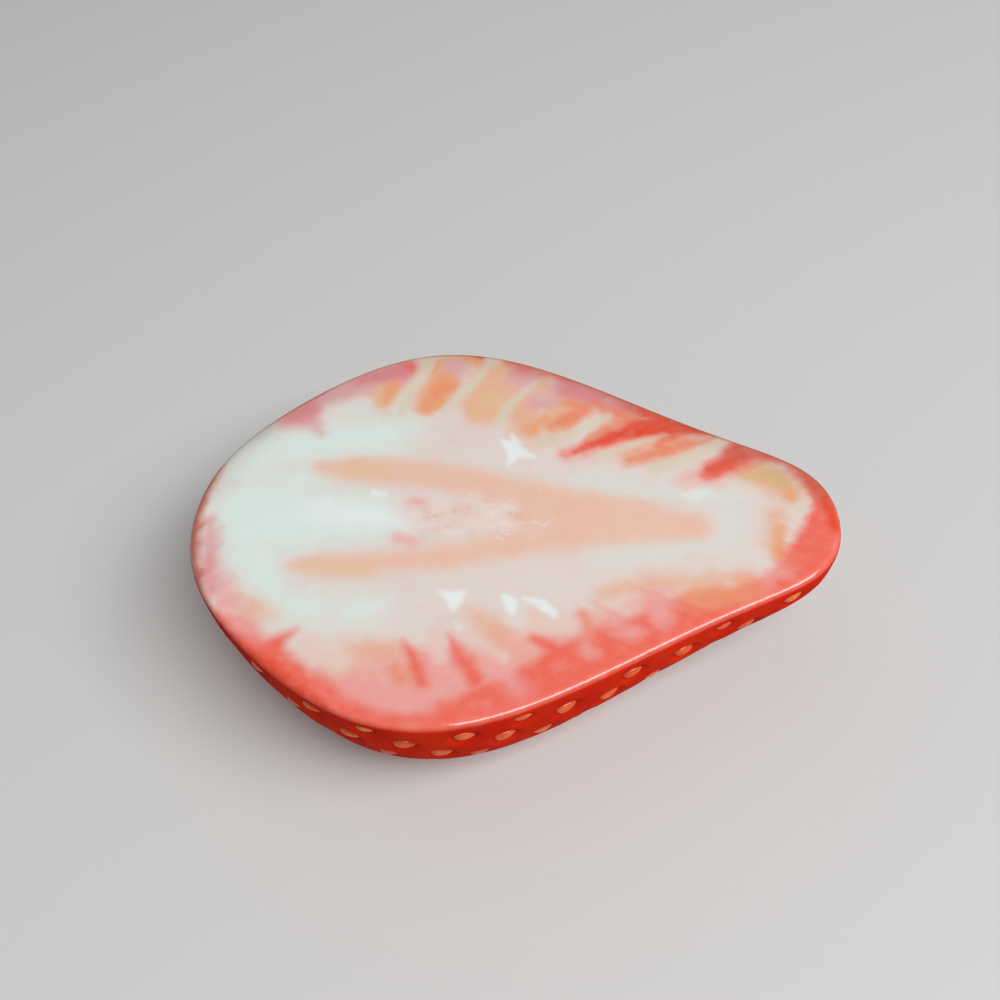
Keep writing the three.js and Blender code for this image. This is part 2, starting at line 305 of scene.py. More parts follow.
def open_loop(mesh):
    """The corners of the open edge in order, from the stem end along the front to the tip and back."""
    start = min((v for v in mesh.verts if v.is_boundary), key=lambda v: v.co.x)
    loop = [start]
    links = [e for e in start.link_edges if e.is_boundary]
    edge = min(links, key=lambda e: e.other_vert(start).co.y)
    while True:
        vertex = edge.other_vert(loop[-1])
        if vertex is start:
            return loop
        loop.append(vertex)
        edge = next(e for e in vertex.link_edges if e.is_boundary and e is not edge)


loop = open_loop(flesh)
corner = np.array([v.co for v in loop], dtype=float)
tangent = np.roll(corner, -1, axis=0) - np.roll(corner, 1, axis=0)
outwards = unit(np.stack([tangent[:, 1], -tangent[:, 0], np.zeros(len(loop))], axis=1))
for step in range(1, EDGE_STEPS + 1):
    angle = step / EDGE_STEPS * math.pi / 2
    bmesh.ops.extrude_edge_only(flesh, edges=[e for e in flesh.edges if e.is_boundary])
    moved = corner - outwards * EDGE_RADIUS * (1 - math.cos(angle))
    moved[:, 2] = FACE_HEIGHT - EDGE_RADIUS * (1 - math.sin(angle))
    for vertex, place in zip(open_loop(flesh), moved):
        vertex.co = place

for row in range(FACE_ROWS):
    edges = [e for e in flesh.edges if e.is_boundary]
    added = bmesh.ops.extrude_edge_only(flesh, edges=edges)["geom"]
    inner = [part for part in added if isinstance(part, bmesh.types.BMVert)]
    left = FACE_ROWS - row
    bmesh.ops.scale(flesh, vec=(1, (left - 1) / left, 1), verts=inner)
loop = open_loop(flesh)
pairs = {loop[-i]: loop[i] for i in range(1, len(loop) // 2)}
bmesh.ops.weld_verts(flesh, targetmap=pairs)
bmesh.ops.remove_doubles(flesh, verts=flesh.verts[:], dist=SAME)
bmesh.ops.recalc_face_normals(flesh, faces=flesh.faces[:])
open_edges = sum(1 for e in flesh.edges if not e.is_manifold)
print(len(flesh.faces), "faces in all,", open_edges, "open edges")

# %% [markdown]
# ## From millimetres to metres
# The shapes are made in millimetres, which are easy to read. A scaled object would do the same, but
# then its own coordinates would not be the frame's. So the points are scaled, and every object
# stays at the origin, where its material can read its place directly.

# %% Turn a bmesh into an object in metres
def finish_piece(mesh, name):
    """Makes the mesh an object at the origin, with its place in its points."""
    bmesh.ops.scale(mesh, vec=(MM, MM, MM), verts=mesh.verts[:])
    data = bpy.data.meshes.new(name)
    mesh.to_mesh(data)
    mesh.free()
    data.shade_smooth()
    piece = bpy.data.objects.new(name, data)
    bpy.context.scene.collection.objects.link(piece)
    return piece


flesh_piece = finish_piece(flesh, "cut_flesh")

# %% [markdown]
# ## Where the colours of the cut face lie
# On the real berry most colours are tissues: vessels run as cream rays from the core to the
# seeds, juice makes the flesh coral between them, and bruised cells turn rose. Two sets also carry
# painted light: the grey-green one by the stem end is painted shade on the back rim, not a tissue,
# and the white flecks are partly the flesh's own and partly painted highlight. A painted image
# would do, but strokes of known width in millimetres keep the pattern a shape. For each set of
# strokes the mesh keeps how far inside them a point is, so the material can make borders soft.

# %% Tissues and painted light: colour, how soft the border is, and strokes of station, height and half-width
TISSUES_AND_PAINTED_LIGHT = {
    "mint": ((214, 227, 221), 1.8, [
        [(4, 0, 3.2), (11, -0.3, 1.9)],
        [(3, 5, 1.8), (6.5, 5.8, 1.6), (11.5, 7, 1.8)],
        [(2, 3.4, 1.2), (6.6, 2.8, 1.0)],
        [(4.5, -3, 2), (6, -6, 1.2)],
        [(7.5, -6.6, 0.9), (12, -7, 0.6)],
    ]),
    "creamy": ((215, 215, 207), 1.0, [
        [(24, 2.9, 0.7), (33.5, 1.6, 0.8), (33.3, -1.8, 0.6), (25, -3.3, 0.5)],
        [(9, 9, 0.9), (12, 8.4, 0.7)],
        [(4.9, -7.5, 0.1), (6, -8.1, 0.2), (7.4, -8, 0.1)],
    ]),
    "haze": ((223, 230, 228), 0.8, [
        [(30.7, 2, 0.1), (32.1, 1.9, 0.2)],
        [(8, 0.3, 0.9), (11.6, 0, 0.8), (13.6, -0.7, 0.3)],
    ]),
    # Painted shade, not a tissue: a grey-green tint where the back rim by the stem end lies in shadow.
    "shade": ((182, 196, 190), 0.7, [
        [(1.3, 4.8, 0.3), (3.2, 7.2, 0.4), (5, 8.8, 0.1)],
    ]),
    "pith": ((226, 206, 196), 1.4, [
        [(14.5, 0.3, 0.9), (16.5, 0, 1.5), (20.5, -0.2, 2.2)],
    ]),
    "peach": ((229, 188, 168), 0.7, [
        [(7.5, 4, 0.35), (9.4, 3.85, 0.95), (13, 3.5, 1.1), (17, 2.9, 1.1), (21, 1.7, 1.1),
         (26, 0.2, 1.5)],
        [(6.9, -3.9, 0.3), (8.8, -3.85, 0.8), (13, -3.5, 0.8), (17, -3, 0.85), (21, -1.9, 1),
         (26, -0.5, 1.6)],
        [(22, 0, 1.8), (26, -0.2, 2.0), (31.2, -0.7, 0.9)],
    ]),
    "straw": ((226, 190, 156), 0.9, [
        [(8.6, 3.8, 0.2), (11.6, 3.7, 0.5)],
        [(8, -3.9, 0.1), (11.4, -4.0, 0.4)],
    ]),
    "warm": ((226, 176, 147), 0.9, [
        [(10.6, 11.5, 0.7), (10.9, 9.5, 0.5), (11.2, 8.9, 0.2)],
        [(15.6, 14, 1.3), (14.7, 12.5, 1.4), (13.9, 9.6, 0.9)],
        [(18.8, 12.6, 1.9), (17.9, 9.5, 1.8)],
        [(20.8, 11, 1.7), (20.7, 8, 1.3), (21.2, 7.1, 0.8)],
        [(23.2, 9.8, 1.6), (22.4, 8, 1.3), (23.2, 7.3, 0.5)],
        [(30, 6.5, 0.9), (27, 5.3, 0.8)],
        [(33.8, 3.7, 0.5), (35.5, 3.4, 0.9), (37.1, 2.3, 1.1)],
        [(5, -6.6, 0.6), (6.1, -7.2, 0.3)],
        [(36.2, 0, 0.6), (36, -2.8, 0.5)],
        [(25.6, -5.8, 0.4), (28, -5, 0.4), (34, -4.6, 0.5)],
        [(18.4, -7.4, 0.5), (20, -9.2, 0.8)],
        [(11, -9.6, 0.4), (13.6, -9.8, 0.7)],
    ]),
    "blush": ((230, 166, 155), 1.3, [
        [(8.6, -11.1, 0.9), (12, -12.2, 2.2), (16, -12.6, 3.3), (20, -12, 3.2)],
        [(20, -12, 3.2), (24, -10.4, 2.7), (28, -8.2, 2.3), (33, -6.4, 1.2)],
        [(3, -5.2, 0.3), (4.6, -7.7, 0.5)],
        [(24, 5.2, 0.4), (27.5, 6.8, 0.9)],
        [(30.8, 3, 0.3), (32.4, 3.4, 0.7)],
    ]),
    "dusk": ((218, 168, 168), 0.7, [
        [(2.6, -5.4, 0.5), (1.7, -2.8, 0.6), (1.2, -0.5, 0.4)],
        [(6.4, 10, 0.9), (9, 11.5, 1.2), (11.4, 12.2, 1.3)],
        [(4.4, 7.9, 0.6), (6, 8.3, 0.8), (7.1, 6.9, 0.1)],
        [(15.5, 13.2, 0.8), (15.8, 12.3, 0.7)],
        [(20, 12.2, 0.9), (22.2, 10, 0.8), (21.2, 9.3, 0.5)],
        [(23.5, 11, 1.2), (27, 9.3, 0.8)],
    ]),
    "rose": ((220, 138, 144), 0.6, [
        [(4.7, 8.4, 0.75), (5.9, 9.1, 0.85)],
        [(9.2, 11.7, 0.3), (11, 12.5, 0.85), (12.3, 13.1, 0.8)],
        [(20, 12.9, 0.5), (21.4, 12.4, 0.4)],
        [(23.6, 11, 0.8), (25.2, 10.2, 0.8)],
        [(26.6, 9.5, 0.5), (27.5, 9, 0.5)],
        [(2.5, -5.9, 0.25), (1.7, -3.6, 0.25)],
    ]),
    "rust": ((188, 110, 94), 0.4, [
        [(1.6, -5.4, 0.3), (0.6, -2.8, 0.35), (0.2, 0, 0.4), (0.4, 2.4, 0.45), (1, 4, 0.2)],
        [(35.8, 5.4, 0.1), (37.6, 4.4, 0.25), (38.6, 3.2, 0.1)],
    ]),
    "sand": ((224, 185, 144), 0.7, [
        [(10.6, 10.9, 0.35), (11, 9.7, 0.25)],
        [(18.8, 12.8, 0.35), (18.6, 11.9, 0.2)],
        [(18.2, 10.2, 0.7), (17.4, 8.9, 0.5)],
        [(21.7, 11.1, 0.1), (21.6, 10.7, 0.1)],
    ]),
    "tan": ((214, 176, 132), 0.6, [
        [(34.7, 3.5, 0.45), (36.2, 3.4, 0.75), (36.9, 2.6, 0.5)],
        [(33.4, 6.7, 0.15), (32.4, 6.4, 0.15)],
    ]),
    "orange": ((230, 158, 116), 0.5, [
        [(15, 11.5, 1.1), (14.3, 10, 1.1), (13.8, 9.2, 0.6)],
        [(11.5, 11.2, 0.5), (11.2, 9.9, 0.3)],
        [(14.1, 12.6, 0.2), (14.5, 13.7, 0.3)],
        [(21.9, 8.2, 0.4), (21.2, 7.3, 0.5)],
        [(30.8, -6.1, 0.8), (33, -5.9, 0.8), (35.2, -5.1, 0.5)],
        [(36.3, -0.8, 0.3), (36, -2.8, 0.4)],
        [(16.5, 14.2, 0.4), (17.4, 13.6, 0.5)],
        [(37, 2, 0.2), (37.4, 1.3, 0.1)],
    ]),
    "coral": ((233, 107, 90), 0.5, [
        [(3, -7.6, 0.5), (5, -9.4, 1.1), (7, -11.2, 1.5), (9.5, -13, 1.5), (12.5, -14.3, 1.3)],
        [(12.5, -14.3, 1.3), (15, -14.7, 1.2), (18, -14.4, 2.0), (21, -13.3, 2.3), (24, -11.9, 2.8)],
        [(24, -11.9, 2.8), (27, -9.9, 2.4), (30, -8, 2.0), (33, -6.8, 0.9), (36, -5.3, 1.3)],
        [(36, -5.3, 1.3), (38.5, -2.6, 1.8), (39.9, 0, 1.8), (39.2, 2.4, 0.8)],
        [(6.4, -9.9, 1.0), (7.2, -9.1, 0.4), (8.0, -8.5, 0.1)],
        [(14.3, -9, 0.03), (15, -10.2, 0.3), (15.6, -11.8, 0.4)],
        [(16.8, -8.6, 0.05), (17.6, -10, 0.35), (18.5, -11.5, 0.6)],
        [(21.6, -8.7, 0.12), (22.6, -9.3, 0.3), (23.6, -10, 0.5)],
        [(29.5, 7.8, 1.1), (27, 6.9, 0.65), (25, 5.9, 0.5), (23.4, 4.9, 0.25)],
        [(35.2, 5.4, 0.8), (34, 4.7, 0.95), (33, 3.9, 0.8), (32.2, 3.4, 0.4)],
        [(12.3, 13.4, 0.3), (12.6, 13, 0.2)],
    ]),
    "apricot": ((230, 139, 108), 0.6, [
        [(15.2, 11.2, 0.3), (14.4, 10.5, 0.3)],
        [(32.8, 6.5, 0.3), (31.2, 6, 0.7), (29.4, 5.3, 0.75), (27.4, 4.6, 0.35)],
        [(23.6, 9.6, 0.6), (24.6, 9, 0.8), (23.4, 8.2, 0.7), (22.5, 7.6, 0.3)],
        [(25.2, 9.5, 0.4), (26, 9, 0.5), (27.6, 8.2, 0.5), (26.4, 7.8, 0.45), (25.1, 6.8, 0.3)],
        [(24.3, -6.8, 0.1), (24.8, -8.4, 0.2)],
        [(14, -11, 0.3), (14.4, -11.6, 0.4)],
        [(30.6, -6.1, 0.5), (32.5, -6.1, 0.7), (34.6, -5.4, 0.4)],
    ]),
    "brick": ((214, 92, 70), 0.5, [
        [(37.2, 4.7, 0.35), (36, 5.3, 0.7), (34.6, 5.4, 0.85), (33.6, 4.6, 0.55), (32.6, 3.8, 0.25)],
        [(37.6, 4.3, 0.5), (38.8, 2.9, 0.8), (39.5, 1.2, 0.5)],
        [(19.4, 13.6, 0.2), (22.4, 12.4, 0.2), (24.6, 11.5, 0.3), (26.8, 10.3, 0.45), (28.6, 9.1, 0.5)],
    ]),
    "soft pink": ((231, 158, 154), 0.8, [
        [(28.7, -6.2, 0.9), (28.9, -7, 0.7)],
        [(26.3, -7.7, 0.4), (27.3, -8.3, 0.6)],
        [(24.6, -8.9, 0.1), (24.7, -9.5, 0.2)],
        [(35.3, -4.3, 0.4), (36.2, -3.9, 0.4)],
        [(16.3, -10.4, 0.25), (17.3, -12, 0.5)],
        [(19.3, -10.4, 0.3), (21, -12, 0.6)],
        [(11.6, -12, 0.5), (13.6, -12.7, 0.8), (15.6, -13, 0.6)],
        [(3.2, -6.7, 0.15), (4.6, -8.1, 0.25), (6, -9.1, 0.1)],
        [(13, -1.75, 0.01), (14.3, -2.15, 0.03)],
        [(14, 1.15, 0.01), (14.6, 1.1, 0.03)],
    ]),
    "pale tongue": ((225, 197, 187), 0.5, [
        [(16, -8.6, 0.4), (16.5, -10, 0.2)],
        [(18.3, -8.8, 0.3), (20, -10, 0.3)],
        [(22, -7.4, 0.8), (23.7, -7.9, 0.5)],
        [(8.6, -9.2, 0.5), (10.8, -10.6, 0.6)],
        [(26.8, -5.9, 0.1), (26.9, -6.3, 0.05)],
    ]),
    "red": ((224, 76, 50), 0.4, [
        [(30, 7.7, 1.0), (28, 7.3, 0.7), (26.6, 6.8, 0.35), (25, 5.9, 0.22), (23.9, 5.2, 0.08)],
        [(28.6, 8.8, 0.5), (30.5, 8, 0.9), (33, 6.9, 0.35)],
        [(30.4, 7.3, 0.5), (32.3, 7, 0.35)],
        [(29.1, 5.9, 0.03), (29.7, 6.5, 0.1), (30.7, 6.9, 0.2)],
        [(4.2, -9.2, 0.4), (7, -11.5, 0.8), (10, -13.4, 0.6)],
        [(39.4, 1.4, 0.2), (39.6, -0.6, 0.4)],
        [(2.4, -6.9, 0.2), (1.4, -5.2, 0.08)],
    ]),
    "deep red": ((192, 46, 20), 0.25, [
        [(30.8, 7.9, 0.2), (31.8, 7.4, 0.25), (32.8, 6.95, 0.12)],
        [(29.2, 9, 0.12), (29.7, 8.7, 0.1)],
        [(26.6, 10.4, 0.08), (27.2, 10, 0.1)],
        [(16.8, 14.4, 0.15), (17.5, 14.1, 0.2)],
        [(19.8, 13.8, 0.1), (22, 12.9, 0.1)],
    ]),
    "cream": ((214, 202, 181), 0.4, [
        [(14, 14.9, 0.45), (13.4, 12.2, 0.4), (12.6, 10.6, 0.34), (12.3, 8.8, 0.3)],
        [(18.3, 14.3, 0.5), (17.6, 12.6, 0.38), (16.6, 11, 0.36), (15.7, 9.6, 0.32), (15.1, 8.6, 0.25)],
        [(21.4, 11.8, 0.1), (20.3, 10.5, 0.3), (19.4, 9.2, 0.3), (18.9, 7.8, 0.3)],
        [(26.1, 8.5, 0.2), (25, 7.75, 0.27), (23.6, 6.7, 0.28), (21.8, 6.1, 0.35)],
        [(29.8, 6.85, 0.02), (28.7, 6.4, 0.1), (27.2, 5.7, 0.25), (25.6, 5, 0.3)],
        [(33.8, 6.75, 0.22), (32.5, 5.75, 0.32), (31, 4.8, 0.36), (29, 3.9, 0.4)],
        [(38, 1.3, 0.1), (37.5, 0.8, 0.3)],
    ]),
    # Partly the flesh's own white flecks and partly painted highlight: spots of white sheen painted into
    # the colour.
    "white": ((227, 232, 231), 0.25, [
        [(19.2, 6.3, 0.12), (20, 5.4, 0.6), (21.3, 4.9, 0.12)],
        [(19.8, 6.9, 0.05), (20.1, 6, 0.3)],
        [(19.7, 4.1, 0.1), (20, 5, 0.4)],
        [(16.2, -5.7, 0.15), (17, -6.1, 0.5), (17, -7, 0.12)],
        [(17.5, -5.7, 0.15), (17, -6.1, 0.5)],
        [(19.9, -5.9, 0.2), (20.3, -6.4, 0.45), (20.4, -7, 0.2)],
        [(21.1, -6, 0.2), (22, -6.4, 0.35), (22.8, -7.1, 0.25)],
        [(11.3, 1.8, 0.2), (12.1, 1.7, 0.1)],
        [(17.1, -7.7, 0.05), (17.4, -8.1, 0.08)],
    ]),
}

# %% [markdown]
# A stroke is a row of round dabs joined up, so how far inside it a place lies comes from its
# distance to a line. The rays of vessels fan out from the core near the stem end, and all lean
# towards the tip further on. The mesh also keeps where each point's ray starts, so that fine
# streaks can follow the rays.

# %% Measure places against the strokes, the outline and the rays
FAR_OUTSIDE = -100.0
OUTLINE_STEPS = 400
RAY_ROUNDS = 24
RAY_LEAN_STEM = -0.9
RAY_LEAN = 1.55
RAY_FROM = 6
RAY_SPAN = 6.5

outline_t = (1 - np.cos(np.linspace(0, math.pi, OUTLINE_STEPS))) / 2
outline = np.stack([outline_t * LENGTH, half_width(outline_t)], axis=1)


def inside_strokes(places, strokes):
    """How far each place is inside the widest of the strokes, in millimetres, below 0 outside."""
    best = np.full(len(places), FAR_OUTSIDE)
    for stroke in strokes:
        for (*start, r0), (*end, r1) in zip(stroke, stroke[1:]):
            run = np.subtract(end, start)
            share = np.clip((places - start) @ run / (run @ run), 0, 1)
            distance = np.linalg.norm(places - start - share[:, None] * run, axis=1)
            best = np.maximum(best, r0 + (r1 - r0) * share - distance)
    return best


def to_edge(places):
    """The distance from each place to the outline of the cut face."""
    folded = np.stack([places[:, 0], np.abs(places[:, 1])], axis=1)
    found = [np.linalg.norm(folded[i:i + CHUNK, None] - outline, axis=2).min(axis=1)
             for i in range(0, len(folded), CHUNK)]
    return np.concatenate(found)


def smooth(share):
    """Eases a share in and out, and keeps it from 0 to 1."""
    share = np.clip(share, 0, 1)
    return share * share * (3 - 2 * share)


def ray_start(places):
    """Where on the middle line the ray of vessels through each place starts, by halving a range."""
    low, high = np.full(len(places), -2 * LENGTH), np.full(len(places), 2 * LENGTH)
    for _ in range(RAY_ROUNDS):
        start = (low + high) / 2
        lean = RAY_LEAN_STEM + (RAY_LEAN - RAY_LEAN_STEM) * smooth((start - RAY_FROM) / RAY_SPAN)
        beyond = start + lean * np.abs(places[:, 1]) > places[:, 0]
        low, high = np.where(beyond, low, start), np.where(beyond, start, high)
    return start


# %% Keep the fields on the mesh
FIELD_LIMIT = 5

points = np.empty(len(flesh_piece.data.vertices) * 3)
flesh_piece.data.vertices.foreach_get("co", points)
points = points.reshape(-1, 3) / MM
upper = points[:, 2] > FACE_HEIGHT - 2 * EDGE_RADIUS
places = np.stack([points[upper, 0] + LENGTH / 2, points[upper, 1]], axis=1)


def keep_field(name, values, elsewhere):
    """Stores one number for each point of the flesh under that name."""
    everywhere = np.full(len(points), elsewhere, dtype=np.float32)
    everywhere[upper] = values
    kept = flesh_piece.data.attributes.new(name, "FLOAT", "POINT")
    kept.data.foreach_set("value", everywhere)


for tissue_or_painted_light, (_, soft, strokes) in TISSUES_AND_PAINTED_LIGHT.items():
    inside = inside_strokes(places, strokes) / soft
    keep_field(tissue_or_painted_light, np.clip(inside, -FIELD_LIMIT, FIELD_LIMIT), -FIELD_LIMIT)
keep_field("to_edge", to_edge(places), 0)
keep_field("ray", ray_start(places), 0)
print("kept", len(TISSUES_AND_PAINTED_LIGHT) + 2, "fields on the cut face")

# %% [markdown]
# ## Shader maths
# Node trees are hard to read as code. Python's operators could be left out and every node wired
# by hand, but one small class that wraps a socket lets a formula be written as a formula.

# %% Shader maths as Python expressions
class Socket:
    """A node's output. Operators on it add Math nodes, and add() adds any other node."""

    def __init__(self, tree, output=None):
        self.tree = tree
        self.output = output

    def add(self, kind, inputs=(), output=0, **settings):
        """Adds a node: its settings, then its sockets' values or links. Returns one output."""
        node = self.tree.nodes.new(kind)
        for name, value in settings.items():
            setattr(node, name, value)
        for name, value in dict(inputs).items():
            if isinstance(value, Socket):
                self.tree.links.new(value.output, node.inputs[name])
            else:
                node.inputs[name].default_value = value
        return Socket(self.tree, node.outputs[output])

    def math(self, operation, *values):
        return self.add("ShaderNodeMath", dict(enumerate(values)), operation=operation)

    def __add__(self, other):
        return self.math("ADD", self, other)

    __radd__ = __add__

    def __mul__(self, other):
        return self.math("MULTIPLY", self, other)

    __rmul__ = __mul__

    def __sub__(self, other):
        return self.math("SUBTRACT", self, other)

    def __rsub__(self, other):
        return self.math("SUBTRACT", other, self)

    def blend(self, low, high, low_value=0.0, high_value=1.0):
        """Goes smoothly from one value to another while this socket goes from low to high."""
        names = ("Value", "From Min", "From Max", "To Min", "To Max")
        inputs = dict(zip(names, (self, low, high, low_value, high_value)))
        return self.add("ShaderNodeMapRange", inputs, interpolation_type="SMOOTHSTEP")

    def over(self, colour, factor):
        """Lays a colour over this one, as much as the factor says."""
        return self.add("ShaderNodeMix", {0: factor, 6: self, 7: colour}, output=2, data_type="RGBA")


def new_material(name, **values):
    """A material with its main shader's fixed values set. Returns it, its sockets and its shader."""
    material = bpy.data.materials.new(name)
    material.use_nodes = True
    shader = material.node_tree.nodes["Principled BSDF"]
    for socket, value in values.items():
        shader.inputs[socket.replace("_", " ")].default_value = value
    return material, Socket(material.node_tree), shader


def link(socket, shader, name):
    socket.tree.links.new(socket.output, shader.inputs[name])


def colour(red, green, blue):
    """A display colour from 0 to 255 as the linear colour that a shader wants."""
    def linear(value):
        value /= 255
        return value / 12.92 if value <= 0.04045 else ((value + 0.055) / 1.055) ** 2.4
    return (linear(red), linear(green), linear(blue), 1)


def millimetres(sockets):
    """Object coordinates in millimetres."""
    place = sockets.add("ShaderNodeTexCoord", output="Object")
    return sockets.add("ShaderNodeVectorMath", {0: place, "Scale": 1 / MM}, operation="SCALE")


def field(sockets, name):
    """The number that the mesh keeps for each point under that name."""
    return sockets.add("ShaderNodeAttribute", output="Fac", attribute_name=name)


def noise_at(place, scale, detail=2.0, roughness=0.5):
    """Soft noise from about 0 to 1, with lumps of 1 / scale millimetres."""
    inputs = {"Vector": place, "Scale": scale, "Detail": detail, "Roughness": roughness}
    return place.add("ShaderNodeTexNoise", inputs, noise_dimensions="3D")


# %% [markdown]
# ## The flesh's material
# One wet body shows two finishes: the cut face, soft and milky, and the thin glossy skin. Two
# materials would meet in a hard line, so one material blends them by height over the edge. It
# starts with its noises. The strokes' borders could be left as they are, but real ones wander,
# so a calm noise is added to the fields in the core, and a ragged one with streaks further out.

# %% The flesh's shader and its noises
BROAD = 0.35  # noise scales, in lumps per millimetre
WANDER = 0.8
FINE = 1.6
STREAKS = 0.75
STREAK_FAN = 1.3  # how far apart neighbouring rays are in the noise
STREAK_LENGTH = 0.35  # less makes the streaks longer along their rays

flesh_material, sockets, shader = new_material(
    "strawberry_flesh", Subsurface_Weight=0.08, Subsurface_Radius=(1.0, 0.35, 0.2),
    Subsurface_Scale=0.0006, Specular_IOR_Level=0.0, Coat_Roughness=0.06, Coat_IOR=2.0, IOR=1.36,
)
place = millimetres(sockets)
along, across, height = (
    place.add("ShaderNodeSeparateXYZ", {"Vector": place}, output=axis) for axis in "XYZ"
)
ray = field(sockets, "ray")
rim = field(sockets, "to_edge")
fan = sockets.add("ShaderNodeCombineXYZ", {"X": ray * STREAK_FAN, "Y": across * STREAK_LENGTH})
broad = noise_at(place, BROAD, 3)
fine = noise_at(place, FINE, 4, 0.6)
wander = noise_at(place, WANDER, 2, 0.4)
streak = noise_at(fan, STREAKS, 2, 0.5)
# A noise moves the borders by up to half its factor, in widths of the soft border.
calm = (wander - 0.5) * 1.2 + (broad - 0.5) * 0.8
ragged = (wander - 0.5) * 1.4 + (streak - 0.5) * 1.0

# %% [markdown]
# ### The colours of the cut face
# Each tissue, and the painted shade and highlight among them, is laid over the ones before it,
# with its own soft border. One colour for each would look printed, so paler and warmer clouds vary
# them outside the milky part, pink streaks do near the rim, and the pith gets wisps of its own.

# %% Paint the tissues, and the painted shade and highlight among them
HALO = colour(221, 208, 201)  # the flesh where no tissue is
PALE_TINT = colour(228, 214, 208)
WARM_TINT = colour(224, 170, 150)
PINK_TINT = colour(229, 158, 156)
CLOUDS = 0.6  # noise scales
PINK_STREAKS = 0.9
SMOOTH_TISSUES_AND_PAINTED_LIGHT = ("mint", "creamy", "haze", "shade", "pith", "peach", "straw", "white")

cut = sockets.add("ShaderNodeRGB")
cut.output.default_value = HALO
for tissue_or_painted_light, (tint, _, _) in TISSUES_AND_PAINTED_LIGHT.items():
    wobble = calm if tissue_or_painted_light in SMOOTH_TISSUES_AND_PAINTED_LIGHT else ragged
    cut = cut.over(colour(*tint), (field(sockets, tissue_or_painted_light) + wobble).blend(-1, 1))
clouds = noise_at(place, CLOUDS, 3, 0.55)
off_mint = field(sockets, "mint").blend(0, -1)
near_rim = rim.blend(3.5, 1.5)
cut = cut.over(PALE_TINT, off_mint * clouds.blend(0.5, 0.75, 0, 0.12))
cut = cut.over(WARM_TINT, off_mint * clouds.blend(0.5, 0.25, 0, 0.18))
cut = cut.over(PINK_TINT, near_rim * noise_at(fan, PINK_STREAKS, 2).blend(0.5, 0.75, 0, 0.12))

# %% Wisps in the pith: colour, the noise where it starts and is full, and how strong it gets
WISPS = (
    (colour(224, 180, 168), 0.52, 0.66, 0.55),
    (colour(214, 130, 112), 0.66, 0.74, 0.5),
    (colour(230, 226, 220), 0.46, 0.34, 0.45),
)
WISP_SCALE = 0.9
WISP_SHAPE = (0.9, 1.5, 1)

wisps = sockets.add("ShaderNodeVectorMath", {0: place, 1: WISP_SHAPE}, operation="MULTIPLY")
wisps = noise_at(wisps, WISP_SCALE, 4, 0.65)
in_pith = field(sockets, "pith").blend(-0.8, 0.6)
for tint, start, full, strength in WISPS:
    cut = cut.over(tint, in_pith * wisps.blend(start, full, 0, strength))

# %% [markdown]
# ### The rim and the skin
# Along the back the flesh is painted darker to the rim, a painted shade where the light falls off,
# with a thin brown line past the stem end that is partly the skin's dark edge and partly painted
# shade. The edge is where most water stands, so its clear coat is strongest. The skin gets only a
# little, because a strong coat would mirror the pale floor and turn the red pink.

# %% Shade the rim, lay the skin round it and set the finish
# Painted shade colours: a dull brown laid over the back rim, and a brown line that is partly the skin's
# edge and partly painted shade.
EDGE_SHADE = colour(150, 108, 92)
EDGE_BROWN_AND_SHADE = colour(184, 100, 72)
SHADE_WIDTH = 2.6
SHADE_STRENGTH = 0.26
SKIN_RED = colour(192, 26, 0)
SKIN_ORANGE = colour(208, 46, 4)
SKIN_ROUGHNESS, CUT_ROUGHNESS = 0.3, 0.42
SKIN_COAT, CUT_COAT, EDGE_COAT = 0.055, 0.08, 0.9
PORE_DEPTH = 0.00005  # metres

at_back = across.blend(0, 3)
past_stem = along.blend(-17.5, -14.5, 0, 0.85)
brown_and_shade_line = (rim + (streak - 0.5) * 0.4).blend(0.5, 0.2)
# Painted shade: the back of the cut face is darkened towards the rim.
cut = cut.over(EDGE_SHADE, rim.blend(SHADE_WIDTH, 0, 0, SHADE_STRENGTH) * at_back)
# Thin brown line past the stem end, partly the skin's dark edge and partly painted shade.
cut = cut.over(EDGE_BROWN_AND_SHADE, brown_and_shade_line * at_back * past_stem)

skin_tint = sockets.add("ShaderNodeRGB")
skin_tint.output.default_value = SKIN_RED
skin_tint = skin_tint.over(SKIN_ORANGE, broad.blend(0.35, 0.7, 0, 0.6))

below_face = FACE_HEIGHT - height - (fine - 0.5) * 0.1
is_cut = below_face.blend(EDGE_RADIUS * 0.8, EDGE_RADIUS * 0.1)
wet_edge = height.blend(FACE_HEIGHT - EDGE_RADIUS * 0.02, FACE_HEIGHT - EDGE_RADIUS * 0.3)
pores = sockets.add("ShaderNodeBump", {"Height": fine, "Strength": 0.2, "Distance": PORE_DEPTH})
link(skin_tint.over(cut, is_cut), shader, "Base Color")
link(is_cut.blend(0, 1, SKIN_ROUGHNESS, CUT_ROUGHNESS), shader, "Roughness")
link(is_cut.blend(0, 1, SKIN_COAT, CUT_COAT) + wet_edge * is_cut * EDGE_COAT, shader, "Coat Weight")
link(pores, shader, "Normal")
flesh_piece.data.materials.append(flesh_material)

# %% [markdown]
# ## The seeds
# Each is a tiny egg, pointed towards the tip of the berry and sunk in its dimple. Round balls
# would read as beads, so a ball is drawn out, narrowed at one end and set along the skin.

# %% Seeds
SEED_POINT = 0.22  # how much the end towards the tip is narrowed
SLIM = 0.85  # the fine seed is a little slimmer than the solid's
SEED_COLOUR = colour(208, 84, 40)
SEED_PALE = colour(222, 112, 58)
SEED_DARK = colour(170, 52, 18)
SEED_PATCHES = 0.8  # noise scales
SEED_SPECKS = 3.5

